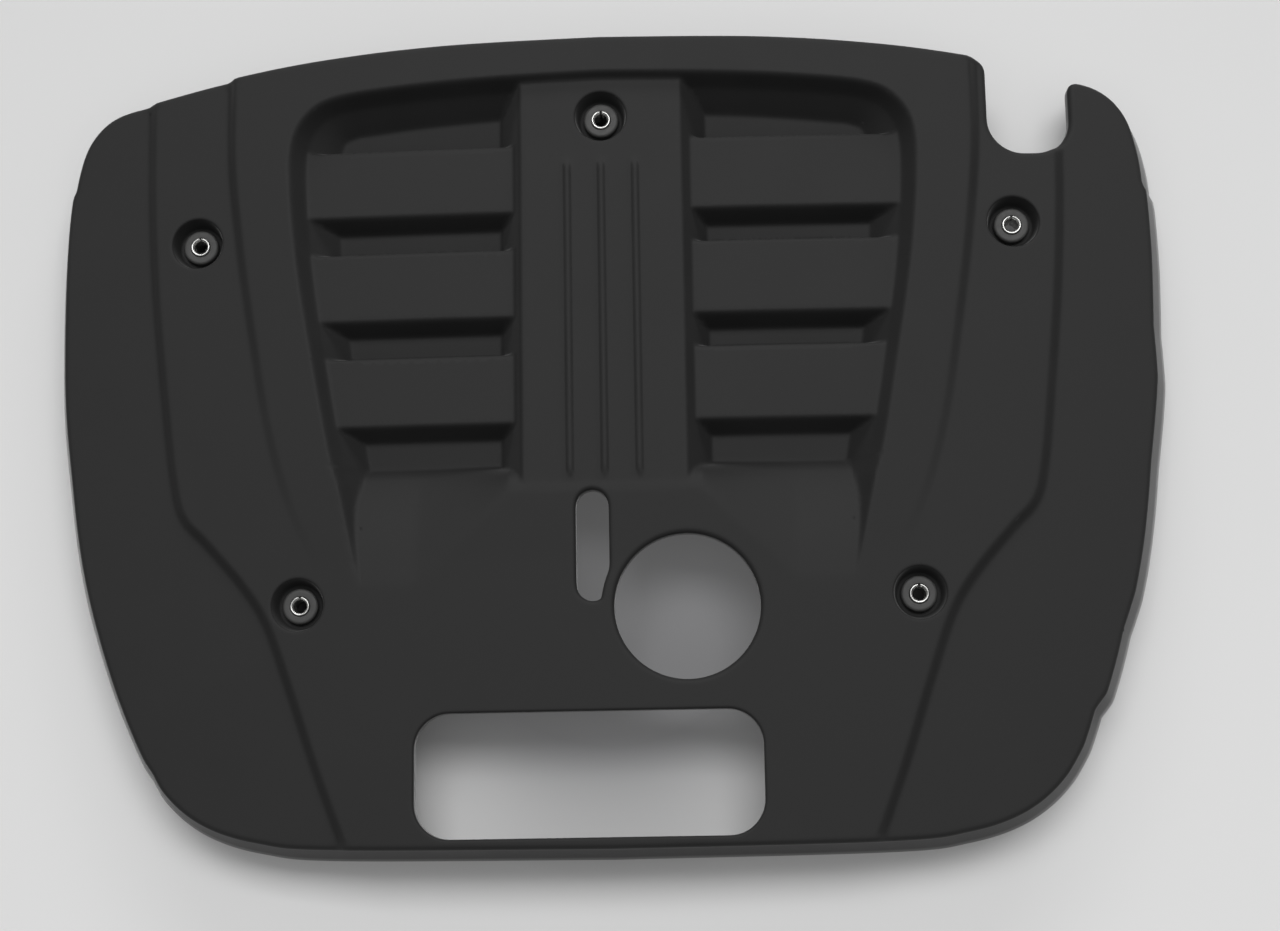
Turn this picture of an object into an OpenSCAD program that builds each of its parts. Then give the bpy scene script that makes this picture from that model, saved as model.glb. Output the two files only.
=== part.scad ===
// Engine cover: one injection moulding with five fastener pockets, each with a rubber grommet
// and a rolled steel sleeve. Millimetres, face up (+Z), the rear edge with the notch towards +Y.

/* [Body] */
// Height from the skirt's lower edge to the highest point of the face
body_h = 52; // [46:1:60]
// Half the width of the face, without the flare of the skirt
half_w = 289.5; // [280:0.5:300]
// Half the depth of the face, front to back
half_d = 213; // [206:1:220]
// Wall of the moulding
wall = 2.5; // [2:0.1:3]
// Radius of the crown across the face
crown_r = 3900; // [3500:50:5000]
// How far the skirt flares out at its lower edge, in front and at the rear
flare = 6; // [3:0.5:8]
// How far it flares out at the two sides
side_flare = 10; // [6:0.5:12]
// Rounding between the face and the skirt
edge_r = 3; // [1.5:0.5:4]

/* [Levels below the highest point] */
// Deck: the middle panels, the spine and the field
deck_drop = 5.5; // [4:0.5:7]
// Wings at both sides
wing_drop = 9.5; // [8:0.5:12]
// Faces of the slats in the recess
slat_drop = 12; // [11:0.5:14]
// Floor of the recess
floor_drop = 26; // [22:1:28]
// Width of the sloped step between two panels
step_w = 3.5; // [2:0.5:5]

/* [Recess] */
// Half the width of the spine at its top
spine_half = 43; // [38:1:46]
// How far each side of the spine slopes out down to the floor
spine_draft = 12; // [8:1:14]
// Width of one slat
slat_w = 36.5; // [32:0.5:40]
// Pitch of the slats
slat_pitch = 57; // [54:0.5:60]
// Distance from the recess's rear edge to the first slat
slat_gap = 36.5; // [33:0.5:41]
// Slope of the lower side of each slat, as run over its height
slat_draft = 6; // [3:0.5:8]
// Height of the three beads on the spine
bead_h = 1.4; // [0.8:0.1:2]
// Width of one bead
bead_w = 3.2; // [2:0.1:5]
// Pitch of the beads
bead_pitch = 18.3; // [14:0.1:20]

/* [Openings] */
// Diameter of the filler opening
filler_d = 74.6; // [68:0.2:78]
// Width of the dipstick slot
slot_w = 17; // [14:0.5:18]
// Length of the dipstick slot
slot_l = 58; // [50:1:62]
// Bar left between the slot and the filler opening
slot_bar = 6.8; // [5:0.2:8]
// Bar left between the filler opening and the front opening
filler_bar = 15.2; // [12:0.2:18]
// Width of the front opening
front_w = 177; // [160:1:184]
// Depth of the front opening, front to back
front_d = 63; // [54:1:65]
// Corner radius of the front opening
front_r = 18; // [12:1:22]
// Bar of the face left in front of the front opening
front_bar = 6; // [4.5:0.5:9]
// Width of the notch in the rear edge
notch_w = 44; // [38:1:46]
// Corner radius of the notch
notch_r = 19; // [14:1:19]
// Depth of the turned-down collar round each opening
collar_h = 9; // [6:1:12]
// Rounding of the lip of each opening and pocket
lip_r = 1.5; // [0.5:0.5:2]

/* [Fastener pockets] */
// Diameter of a pocket at its mouth
pocket_d = 27; // [25:0.5:30]
// Diameter of a pocket at its floor
pocket_floor_d = 22; // [21:0.5:24]
// Depth of a pocket
pocket_h = 11; // [9:0.5:13]
// Diameter of the grommet's neck
neck_d = 14.6; // [13:0.2:16]
// Diameter of the grommet's head and foot
head_d = 18.6; // [17.6:0.2:20]
// Thickness of the grommet's head and of its foot
head_h = 4; // [3:0.5:5]
// Outer diameter of the steel sleeve
sleeve_d = 10; // [9:0.1:11]
// Bore of the steel sleeve
sleeve_bore = 6.5; // [6:0.1:7]
// How far the sleeve stands proud of the grommet at both ends
sleeve_proud = 1; // [0.5:0.1:1.5]
// Width of the split along the sleeve
split_w = 0.8; // [0.5:0.1:1.2]
// Gap between the grommet's neck and the cover, and between the sleeve and the grommet
fit_gap = 0.1; // [0.05:0.05:0.3]

/* [Hidden] */
plastic = [0.17, 0.17, 0.18];
rubber = [0.28, 0.28, 0.29];
steel = [0.75, 0.75, 0.76];
over = 30;          // how far a cutter reaches past the part
curve_steps = 3;    // pieces of each curved stretch of an outline
crown_steps = 12;   // flats on each half of the crown
round_fn = 64;
slats = 3;
rib_w = 2;
rib_h = 12;         // depth of the ribs below the deck's upper surface
rib_more = 12;      // and how much lower the ribs under the wings reach
knee_h = 2;         // the skirt flares from this far below its rounded edge at the two sides
wall_break = 0.3;   // share of the recess wall's run that lies above the slats' level
slat_steep = 1;     // slope of the upper side of each slat, as run over its height

// The outlines below are drawn at this half width and half depth, and are fitted to the body's
drawn = [289.5, 213];
function fit(p) = [p[0] * half_w / drawn[0], p[1] * half_d / drawn[1]];
function fit_all(p) = [for (q = p) fit(q)];

// Right half of each outline, as points on a smooth curve from the rear edge to the front edge
face_half = fit_all([[0, 213], [85, 211], [150, 205.5], [200, 197.5], [240, 188.5], [264, 182],
    [278, 169], [285, 150], [288.5, 124], [289.5, 82], [288, 27], [283, -17], [277, -57],
    [268.5, -92], [254.5, -133], [239, -166], [226, -185], [207, -199], [180, -207.5],
    [140, -211.5], [0, -213]]);
wing_edge = fit_all([[243, 186], [241.5, 125], [238, 74], [232, 20], [227, -18], [221.5, -39.5],
    [208, -54.5], [189, -76.5], [176, -97], [163, -132], [150, -170], [136, -207]]);
frame_edge = fit_all([[198, 194], [197.5, 150], [192.5, 103], [185, 54], [176, 4.5], [164, -36],
    [148, -70]]);
rim_half = fit_all([[0, 193], [61, 191.2], [106, 188.2], [140, 184], [156, 176], [165, 160],
    [165.5, 132], [161, 89], [153, 42], [144, -6], [138.7, -25]]);
floor_half = fit_all([[0, 178], [57, 176], [95, 173.5], [124, 170.5], [134, 169], [141.5, 162],
    [142.5, 126], [140.5, 89], [135, 42], [127, -6], [125.5, -15]]);
scoop_tip = fit([129, -74]);
front_wing_x = wing_edge[len(wing_edge) - 1][0];
recess_front = floor_half[len(floor_half) - 1][1];
slat_y = rim_half[0][1] - slat_gap;

// The frame slopes down towards the front until it meets the deck here
frame_front_y = fit([0, -65])[1];
frame_tilt = atan(deck_drop / (half_d - frame_front_y));

// Middles of the openings and of the pockets, from the edges that they keep to
front_at = [-10.5, front_bar + front_d / 2 - half_d];
filler_at = [41, front_at[1] + (front_d + filler_d) / 2 + filler_bar];
slot_at = filler_at + [-48, 32];
notch_at = [half_w - 62.5, half_d - 67.5];
side_pocket = [half_w - 73.5, half_d - 105.5];
front_pocket = [half_w - 130, 126 - half_d];
pocket_at = [[0, half_d - 43], [-side_pocket[0], side_pocket[1]], side_pocket,
    [-front_pocket[0], front_pocket[1]], front_pocket];
cross_rib_y = filler_at[1] - (filler_d + filler_bar) / 2;
wing_rib = half_w - 27.5;
field_rib = front_pocket[0] + 26.5;

// Height of the crowned surface at drop d, above the skirt's lower edge
function crown(x, d) = body_h - crown_r + sqrt(pow(crown_r - d, 2) - x * x);
function frame_z(p, d) = crown(p[0], d) - (half_d - p[1]) * tan(frame_tilt);
// Points on a smooth curve through the given ones, which keeps its two ends
function curve_point(a, b, c, d, t) = 0.5 * (2 * b + (c - a) * t + (2 * a - 5 * b + 4 * c - d) * t * t
    + (3 * b - a - 3 * c + d) * t * t * t);
function curve(p) = [for (i = [0 : len(p) - 2], s = [0 : curve_steps - 1])
        curve_point(p[max(i - 1, 0)], p[i], p[i + 1], p[min(i + 2, len(p) - 1)], s / curve_steps),
    p[len(p) - 1]];
function flip(p) = [for (i = [len(p) - 1 : -1 : 0]) [-p[i][0], p[i][1]]];
// A closed outline, clockwise, from its right half whose first point lies on the centre line
function both(p) = [for (i = [0 : len(p) - 1]) p[i], for (q = flip(p)) if (abs(q[0]) > 0.01) q];
function side(a, b) = [a[1] - b[1], b[0] - a[0]] / norm(b - a);
// Each point of a clockwise outline moved outwards by d, with mitred corners
function grow(p, d) = [for (i = [0 : len(p) - 1])
    let (n = len(p), a = side(p[(i + n - 1) % n], p[i]), b = side(p[i], p[(i + 1) % n]))
    p[i] + d * (a + b) / (1 + a * b)];
function at_level(p, z) = [for (q = p) [q[0], q[1], z]];
function on_crown(p, d) = [for (q = p) [q[0], q[1], crown(q[0], d)]];
function on_frame(p, d) = [for (q = p) [q[0], q[1], frame_z(q, d)]];

// A solid through rings of points, one above the other, from the lowest to the highest
module loft(rings) {
    n = len(rings[0]);
    last = len(rings) - 1;
    polyhedron(
        points = [for (r = rings) each r],
        faces = [[for (i = [n - 1 : -1 : 0]) i],
            for (k = [0 : last - 1], i = [0 : n - 1], half = [0, 1])
                let (a = k * n + i, b = k * n + (i + 1) % n)
                half == 0 ? [a, b, b + n] : [a, b + n, a + n],
            [for (i = [0 : n - 1]) last * n + i]]);
}

// Everything below the crowned surface at drop d
module below_crown(d) {
    far = half_w + over;
    arc = [for (i = [-crown_steps : crown_steps])
        let (x = far * i / crown_steps) [x, crown(x, d)]];
    rotate([90, 0, 0])
        linear_extrude(4 * half_d, center = true)
            polygon(concat(arc, [[far, -4 * over], [-far, -4 * over]]));
}

// The same surface tilted down towards the front, for the frame
module below_frame(d) {
    translate([0, half_d, 0])
        rotate([frame_tilt, 0, 0])
            below_crown(d);
}

// Height of the face at a point of its outline: on the frame, on the deck or on a wing
function edge_z(p) =
    abs(p[0]) > (p[1] > 0 ? wing_edge[0][0] : front_wing_x) ? crown(p[0], wing_drop)
    : p[1] > 0 && abs(p[0]) < frame_edge[0][0] ? frame_z(p, 0)
    : crown(p[0], deck_drop);
// The face outline set in and lowered by a share of the rounding at its edge
function edge_ring(face, a) = let (ring = grow(face, -edge_r * (1 - cos(a))))
    [for (i = [0 : len(face) - 1]) [ring[i][0], ring[i][1], edge_z(face[i]) - edge_r * (1 - sin(a))]];

// The face outline flared out, by the whole flare at k = 1 and more at the two sides
function flared(face, k) = let (wide = (half_w + side_flare * k) / (half_w + flare * k))
    [for (q = grow(face, flare * k)) [q[0] * wide, q[1]]];

// The skirt: the face outline flared out down to the lower edge, set in by w
module skirt_form(w) {
    face = grow(both(curve(face_half)), -w);
    low = w > 0 ? -over : 0;
    knee = crown(half_w, wing_drop) - edge_r - knee_h;
    edge = w > 0 ? [] : [for (a = [0, 40, 70]) edge_ring(face, a)];
    top = w > 0 ? face : grow(face, -edge_r);
    loft(concat([at_level(flared(face, (knee - low) / knee), low), at_level(face, knee)],
        edge,
        [at_level(top, body_h + over)]));
}

// The frame stands above the deck inside this outline
module frame_form(w) {
    rear = half_d + over;
    front = [0, frame_front_y - over];
    edge = concat([[0, rear + step_w], [frame_edge[0][0], rear]], curve(frame_edge), [front]);
    line = grow(both(edge), -w);
    intersection() {
        loft([at_level(grow(line, step_w / 2), -over),
            on_frame(grow(line, step_w / 2), deck_drop),
            on_frame(grow(line, -step_w / 2), 0),
            at_level(grow(line, -step_w / 2), body_h + over)]);
        below_frame(w);
    }
}

// What the right wing loses above its own level
module wing_cut(w) {
    far = half_w + over;
    line = concat([[wing_edge[0][0], half_d + over], [far, half_d + over], [far, -half_d - over],
        [front_wing_x - 6, -half_d - over]], [for (i = [len(wing_edge) - 1 : -1 : 0]) wing_edge[i]]);
    edge = grow(line, w);
    difference() {
        loft([at_level(grow(edge, -step_w / 2), 0),
            on_crown(grow(edge, -step_w / 2), wing_drop),
            on_crown(grow(edge, step_w / 2), deck_drop),
            at_level(grow(edge, step_w / 2), body_h + over)]);
        below_crown(wing_drop + w);
    }
}

// The recess between the frame's two legs, with its walls set out by w
module recess_form(w) {
    rim = grow(both(curve(rim_half)), w);
    low = grow(both(curve(floor_half)), w);
    mid = [for (i = [0 : len(rim) - 1]) rim[i] + (low[i] - rim[i]) * wall_break];
    difference() {
        loft([at_level(low, -1),
            on_crown(low, floor_drop + w),
            on_crown(mid, slat_drop),
            on_frame(rim, 0),
            at_level(rim, body_h + over)]);
        below_crown(floor_drop + w);
    }
}

// The spine that divides the recess
module spine_form(w) {
    top = spine_half - w;
    base = top + spine_draft;
    rear = half_d;
    front = recess_front - over;
    intersection() {
        loft([[[-base, front, -over], [-base, rear, -over], [base, rear, -over], [base, front, -over]],
            [[-base, front, body_h - floor_drop], [-base, rear, body_h - floor_drop],
                [base, rear, body_h - floor_drop], [base, front, body_h - floor_drop]],
            [[-top, front, body_h - deck_drop], [-top, rear, body_h - deck_drop],
                [top, rear, body_h - deck_drop], [top, front, body_h - deck_drop]],
            [[-top, front, body_h + over], [-top, rear, body_h + over],
                [top, rear, body_h + over], [top, front, body_h + over]]]);
        below_crown(deck_drop + w);
    }
}

// Section of one slat, with a steep upper side and a sloped lower side
module slat_section(w) {
    high = body_h - slat_drop - w;
    low = -over;
    foot = body_h - floor_drop;
    polygon([[-w, low], [-w, foot], [-slat_steep - w, high], [-slat_w + w, high],
        [-slat_w - slat_draft + w, foot], [-slat_w - slat_draft + w, low]]);
}

// The slats on the right side, from the spine to the outer wall
module slat_form(w) {
    length = floor_half[6][0] + spine_draft - spine_half - 2 * w;
    difference() {
        intersection() {
            for (i = [0 : slats - 1])
                translate([spine_half + w, slat_y - i * slat_pitch, 0])
                    rotate([90, 0, 90])
                        linear_extrude(length)
                            slat_section(w);
            below_crown(slat_drop + w);
            recess_reach(w);
        }
        if (w == 0)
            below_crown(floor_drop + wall / 2);
    }
}

// Plan of the recess, used to end the slats at its outer wall
module recess_reach(w) {
    rim = grow(both(curve(rim_half)), -w);
    translate([0, 0, -over])
        linear_extrude(body_h + 2 * over)
            polygon(rim);
}

// Run-out of the recess's outer wall into the front field, on the right side
module scoop(w) {
    level = body_h - deck_drop - w;
    low = body_h - floor_drop + 4 - w;
    tip = scoop_tip + [w, -w];
    inner = spine_half + 9 - w;
    outer = floor_half[len(floor_half) - 1][0] + w;
    rim = rim_half[len(rim_half) - 2][0] + w;
    rear = recess_front + 5;
    loft([[[inner, recess_front, level], [outer, recess_front, low], [tip[0], tip[1], level - 3]],
        [[inner, rear, body_h + over], [rim, rear, body_h + over], [tip[0], tip[1], body_h + over]]]);
}

module on_both_sides() {
    children();
    mirror([1, 0, 0])
        children();
}

// The outer form at w = 0, and the hollow inside it at w = wall
module form(w) {
    difference() {
        intersection() {
            skirt_form(w);
            union() {
                below_crown(deck_drop + w);
                frame_form(w);
            }
        }
        on_both_sides()
            wing_cut(w);
        difference() {
            union() {
                recess_form(w);
                on_both_sides()
                    scoop(w);
            }
            spine_form(w);
        }
    }
    on_both_sides()
        slat_form(w);
}

module rounded_plan(w, d, r) {
    for (sx = [-1, 1], sy = [-1, 1])
        translate([sx * (w / 2 - r), sy * (d / 2 - r)])
            circle(r = r, $fn = round_fn);
    square([w - 2 * r, d], center = true);
    square([w, d - 2 * r], center = true);
}

// Plan of the openings through the deck, each made wider by w
module deck_plan(w) {
    translate(filler_at)
        circle(d = filler_d + 2 * w, $fn = 2 * round_fn);
    difference() {
        translate(slot_at) {
            square([slot_w + 2 * w, slot_l - slot_w], center = true);
            for (s = [-1, 1])
                translate([0, s * (slot_l - slot_w) / 2])
                    circle(d = slot_w + 2 * w, $fn = round_fn);
        }
        translate(filler_at)
            circle(d = filler_d + 2 * slot_bar - 2 * w, $fn = 2 * round_fn);
    }
    translate(front_at)
        rounded_plan(front_w + 2 * w, front_d + 2 * w, front_r + w);
}

// Plan of the notch, open at the rear edge, made wider by w
module notch_plan(w) {
    depth = half_d - notch_at[1] + over;
    translate([notch_at[0], notch_at[1] + depth / 2])
        rounded_plan(notch_w + 2 * w, depth + 2 * w, notch_r + w);
}

// Section of a rounded lip from the middle of an opening of half width r out to its edge
function lip_section(r) = concat([[0, over], [0, -lip_r]],
    [for (a = [0 : 22.5 : 90]) [r + lip_r * (1 - cos(a)), lip_r * (sin(a) - 1)]],
    [[r + lip_r, over]]);
module lip_run(r, length) {
    if (length > 0)
        rotate([90, 0, 0])
            linear_extrude(length, center = true)
                polygon(concat(lip_section(r), [for (i = [len(lip_section(r)) - 1 : -1 : 2])
                    [-lip_section(r)[i][0], lip_section(r)[i][1]]]));
}

// What the rounded lip of an opening takes from the face above and round it
module lip_cut(w, d, r) {
    for (sx = w > 2 * r ? [-1, 1] : [0], sy = d > 2 * r ? [-1, 1] : [0])
        translate([sx * (w / 2 - r), sy * (d / 2 - r), 0])
            rotate_extrude($fn = round_fn)
                polygon(lip_section(r));
    lip_run(w / 2, d - 2 * r);
    rotate([0, 0, 90])
        lip_run(d / 2, w - 2 * r);
}

module lips() {
    deck = body_h - deck_drop;
    translate([filler_at[0], filler_at[1], crown(filler_at[0], deck_drop)])
        lip_cut(filler_d, filler_d, filler_d / 2);
    translate([slot_at[0], slot_at[1], deck])
        lip_cut(slot_w, slot_l, slot_w / 2);
    translate([front_at[0], front_at[1], crown(front_w / 4, deck_drop)])
        lip_cut(front_w, front_d, front_r);
    for (p = pocket_at)
        translate([p[0], p[1], pocket_z(p)])
            lip_cut(pocket_d, pocket_d, pocket_d / 2);
}

function pocket_z(p) = crown(p[0], deck_drop);

// Outside of one pocket
module pocket_cup(p) {
    translate([p[0], p[1], pocket_z(p) - pocket_h - wall])
        cylinder(d1 = pocket_floor_d + 2 * wall, d2 = pocket_d + 2 * wall, h = pocket_h + wall + over,
            $fn = round_fn);
}

// Inside of one pocket, with the hole for the grommet in its floor
module pocket_bore(p) {
    slope = (pocket_d - pocket_floor_d) / pocket_h;
    translate([p[0], p[1], pocket_z(p) - pocket_h]) {
        cylinder(d1 = pocket_floor_d, d2 = pocket_d + slope * over, h = pocket_h + over, $fn = round_fn);
        translate([0, 0, -wall - over])
            cylinder(d = neck_d + 2 * fit_gap, h = wall + 2 * over, $fn = round_fn);
    }
}

// Stiffening ribs: one across, under each wing one along it, and two short ones in front
module ribs() {
    low = body_h - deck_drop - rib_h;
    short = cross_rib_y - front_at[1] - front_r / 2;
    long = side_pocket[1] + over - cross_rib_y;
    for (s = [-1, 1]) {
        translate([s * field_rib - rib_w / 2, cross_rib_y - short, low - 4])
            cube([rib_w, short, over]);
        translate([s * wing_rib - rib_w / 2, cross_rib_y, low - rib_more])
            cube([rib_w, long, over]);
    }
    translate([-wing_rib, cross_rib_y - rib_w / 2, low - rib_more])
        cube([2 * wing_rib, rib_w, over]);
}

// Everything that stands inside the hollow: collars, pockets and ribs
module inside() {
    translate([0, 0, body_h - deck_drop - collar_h])
        linear_extrude(collar_h + over)
            deck_plan(wall);
    translate([0, 0, crown(notch_at[0], wing_drop) - collar_h])
        linear_extrude(collar_h + over)
            notch_plan(wall);
    for (p = pocket_at)
        pocket_cup(p);
    ribs();
}

module beads() {
    rear = pocket_at[0][1] - pocket_d;
    front = recess_front - 9;
    intersection() {
        for (i = [-1 : 1])
            translate([i * bead_pitch - bead_w / 2, front, body_h - floor_drop])
                cube([bead_w, rear - front, floor_drop]);
        below_crown(deck_drop - bead_h);
        spine_form(-bead_h);
    }
}

module cover() {
    color(plastic) {
        difference() {
            union() {
                form(0);
                beads();
            }
            difference() {
                form(wall);
                inside();
            }
            translate([0, 0, -over])
                linear_extrude(body_h + 2 * over) {
                    deck_plan(0);
                    notch_plan(0);
                }
            for (p = pocket_at)
                pocket_bore(p);
            lips();
        }
    }
}

module grommet(p) {
    neck = wall;
    total = neck + 2 * head_h;
    edge = 1;
    head_r = head_d / 2;
    color(rubber)
        translate([p[0], p[1], pocket_z(p) - pocket_h - wall - head_h])
            rotate_extrude($fn = round_fn)
                polygon([[sleeve_d / 2 + fit_gap, 0], [head_r - edge, 0], [head_r, edge],
                    [head_r, head_h], [neck_d / 2, head_h], [neck_d / 2, head_h + neck],
                    [head_r, head_h + neck], [head_r, total - edge], [head_r - edge, total],
                    [sleeve_d / 2 + fit_gap, total]]);
}

module sleeve(p) {
    total = wall + 2 * head_h + 2 * sleeve_proud;
    color(steel)
        translate([p[0], p[1], pocket_z(p) - pocket_h - wall - head_h - sleeve_proud])
            difference() {
                cylinder(d = sleeve_d, h = total, $fn = round_fn);
                translate([0, 0, -1])
                    cylinder(d = sleeve_bore, h = total + 2, $fn = round_fn);
                translate([-split_w / 2, 0, -1])
                    cube([split_w, sleeve_d, total + 2]);
            }
}

cover();
grommet(pocket_at[0]);  // grommet_rear
grommet(pocket_at[1]);  // grommet_left
grommet(pocket_at[2]);  // grommet_right
grommet(pocket_at[3]);  // grommet_front_left
grommet(pocket_at[4]);  // grommet_front_right
sleeve(pocket_at[0]);  // sleeve_rear
sleeve(pocket_at[1]);  // sleeve_left
sleeve(pocket_at[2]);  // sleeve_right
sleeve(pocket_at[3]);  // sleeve_front_left
sleeve(pocket_at[4]);  // sleeve_front_right
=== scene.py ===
import math
import bmesh
import bpy
import numpy as np
from mathutils import Matrix, Vector
from mathutils.geometry import delaunay_2d_cdt


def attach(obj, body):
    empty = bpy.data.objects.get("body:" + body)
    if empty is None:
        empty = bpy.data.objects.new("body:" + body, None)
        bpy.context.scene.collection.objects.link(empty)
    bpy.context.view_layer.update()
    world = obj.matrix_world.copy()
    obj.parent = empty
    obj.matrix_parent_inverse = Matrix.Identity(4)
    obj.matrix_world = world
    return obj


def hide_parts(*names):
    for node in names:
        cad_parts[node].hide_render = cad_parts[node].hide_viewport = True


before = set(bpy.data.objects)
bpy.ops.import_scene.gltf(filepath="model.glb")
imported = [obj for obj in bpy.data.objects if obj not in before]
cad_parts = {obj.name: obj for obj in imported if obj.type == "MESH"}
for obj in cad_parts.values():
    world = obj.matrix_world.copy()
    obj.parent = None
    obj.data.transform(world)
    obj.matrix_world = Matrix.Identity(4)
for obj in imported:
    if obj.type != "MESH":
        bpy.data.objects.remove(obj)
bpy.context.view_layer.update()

mm = 0.001


# How closely the meshes follow the shape, in millimetres

meshSize = {
    "seam": 0.004,          # points nearer to each other than this are joined
    "line": 3.0,            # steps along the lines beside the edges, and along those that bend more
    "closeLine": 2.5,
    "notchLine": 1.6,
    "hole": 2.0,            # steps round the openings, and round the outer rings beside them
    "outerRing": 3.0,
    "ringsBeside": (1.2, 3.5),      # distances of those rings from the openings' lips,
    "edgeRings": (1.3, 3.5),        # and of the like along the outline
    "field": 7.0,           # grid that fills the whole plan, and the closer one of its middle,
    "fieldBox": (-290, 290, -215, 215),
    "middle": 3.2,          # each with its box: left, right, front and rear
    "middleBox": (-168, 168, -78, 196),
    "cell": 0.9,            # a grid point in the same small square as a line's point is left out
    "clearTop": 0.9,        # lines keep this far from the outline and the openings
    "clearUnder": 0.7,
    "sliver": 5e-4,         # area, in square millimetres, and distance from the outline of a sliver to drop
    "sliverNear": 0.01,
    "softEdge": 0.4,        # small bevels of the lower edges
}


# Sizes of the cover, in millimetres

coverForm = {
    "height": 52.0,           # skirt's lower edge to the highest point of the face
    "halfWidth": 289.5,
    "halfDepth": 213.0,
    "crownRadius": 3900.0,
    "deckDrop": 5.5,          # levels below the highest point
    "wingDrop": 9.5,
    "slatDrop": 12.0,
    "floorDrop": 26.0,
    "frameFront": -65.0,      # where the sloping frame runs into the deck
    "stepWidth": 4.2,
    "flare": 6.0,             # how far the skirt's lower edge stands out, and at the two sides
    "sideFlare": 10.0,
    "kneeBelow": 2.0,         # the flare starts this far below the rounded shoulder
    "wall": 2.5,
    "edgeRadius": 3.0,
    "softening": 1.3,         # radius that every edge of the face is rounded to
    "spineHalf": 43.0,
    "spineDraft": 12.0,       # run of the spine's side from the deck's level down to the floor
    "slatWidth": 36.5,
    "slatPitch": 57.0,
    "slatTop": 156.5,
    "slatLift": (1.8, 4.2),   # how far the upper edges lie behind that, on the left and on the right
    "slatDraft": 6.0,         # run of a slat's lower side, and of its steep upper side
    "slatSteep": 1.0,
    "slats": 3,
    "rimFront": -25.0,        # front ends of the recess's rim and of its floor
    "floorFront": -15.0,
    "recessHalf": 170.0,      # half width and rear end of a box round the recess
    "recessRear": 197.0,
    "wallBreak": 0.3,         # share of the recess wall's run above the level of the slats
    "wallRun": (12.0, 16.0),  # that run in front of the floor, at its far end and where it starts
    "beadHeight": 1.0,
    "beadHalf": 2.1,
    "beadFoot": 0.45,         # height and half width of the soft foot that each bead stands on
    "beadFootHalf": 5.2,
    "beadPitch": 18.0,
    "beadEnds": (-21.0, 143.0),
    "scoopFade": (4.0, 24.0),     # the floor's run-out: how fast it rises, and how far it reaches,
    "scoopReach": (16.0, 64.0),   # beside the spine and beside the outer wall
    "scoopFrom": (50.0, 98.0),
    "scoopTurn": 0.22,            # how far the rim turns inwards for each millimetre towards the front
}
faceKeys = [(0, 213), (85, 211), (150, 205.5), (200, 197.5), (240, 188.5), (264, 182), (278, 169),
            (285, 150), (288.5, 124), (289.5, 82), (288, 27), (283, -17), (277, -57), (268.5, -92),
            (254.5, -133), (239, -166), (226, -185), (207, -199), (180, -207.5), (140, -211.5), (0, -213)]
wingKeys = [(243, 186), (241.5, 125), (238, 74), (232, 20), (227, -18), (221.5, -39.5), (208, -54.5),
            (189, -76.5), (176, -97), (163, -132), (150, -170), (136, -207)]
frameKeys = [(198, 194), (197.5, 150), (192.5, 103), (185, 54), (176, 4.5), (164, -36), (148, -70)]
rimKeys = [(0, 193), (61, 191.2), (106, 188.2), (140, 184), (156, 176), (165, 160), (165.5, 132),
           (161, 89), (153, 42), (144, -6), (138.7, -25)]
floorKeys = [(0, 178), (57, 176), (95, 173.5), (124, 170.5), (134, 169), (141.5, 162), (142.5, 126),
             (140.5, 89), (135, 42), (127, -6), (125.5, -15)]

# Small jogs of the outline, as distance outwards at a place along the side
rightJogs = [(-195, 0), (-165, 0.4), (-148, -1.7), (-139, 0.9), (-122, 0.2), (-107, -0.6), (-88, 0.7),
             (-60, 0.3), (-20, 0), (25, 0.9), (52, -0.9), (90, 0), (126, 0.2), (129.5, -1.5), (150, -0.8),
             (175, 0)]
leftJogs = [(-180, 0), (-172, -0.6), (-165, 0.3), (-140, 0), (138, 0.1), (141.5, -1.1), (165, -0.5), (180, 0)]


def curveThrough(keys, steps=12):
    # smooth curve through the keys: a cubic between each two, with slopes from their neighbours
    k = np.array(keys, float)
    p = np.vstack([k[:1], k, k[-1:]])
    a, b, c, d = p[:-3, None], p[1:-2, None], p[2:-1, None], p[3:, None]
    t = np.linspace(0, 1, steps, endpoint=False)[None, :, None]
    q = 0.5 * (2 * b + (c - a) * t + (2 * a - 5 * b + 4 * c - d) * t**2 + (3 * b - a - 3 * c + d) * t**3)
    return np.vstack([q.reshape(-1, 2), k[-1:]])


def runAlong(path):
    # length along the path at each of its points
    return np.concatenate([[0], np.cumsum(np.linalg.norm(np.diff(path, axis=0), axis=1))])


def resample(path, spacing):
    # the same path with points at equal steps along it
    run = runAlong(path)
    s = np.linspace(0, run[-1], max(2, int(round(run[-1] / spacing)) + 1))
    return np.stack([np.interp(s, run, path[:, 0]), np.interp(s, run, path[:, 1])], 1)


def closedResample(loop, spacing):
    # the same closed loop with points at equal steps along it
    path = np.vstack([loop, loop[:1]])
    run = runAlong(path)
    s = np.linspace(0, run[-1], max(12, int(round(run[-1] / spacing))) + 1)[:-1]
    return np.stack([np.interp(s, run, path[:, 0]), np.interp(s, run, path[:, 1])], 1)


def smoothStep(x):
    # rises from 0 to 1 by three squares less two cubes of x
    x = np.clip(x, 0, 1)
    return x * x * (3 - 2 * x)


def mirrored(path):
    # the path on the other side of the centre line
    return path * np.array([-1, 1])


def leftNormals(path):
    # left-hand normals of an open path
    along = np.gradient(path, axis=0)
    along /= np.linalg.norm(along, axis=1)[:, None]
    return np.stack([-along[:, 1], along[:, 0]], 1)


def outwardNormals(loop):
    # left-hand normals of a clockwise loop
    along = np.roll(loop, -1, 0) - np.roll(loop, 1, 0)
    along /= np.linalg.norm(along, axis=1)[:, None]
    return np.stack([-along[:, 1], along[:, 0]], 1)


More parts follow.
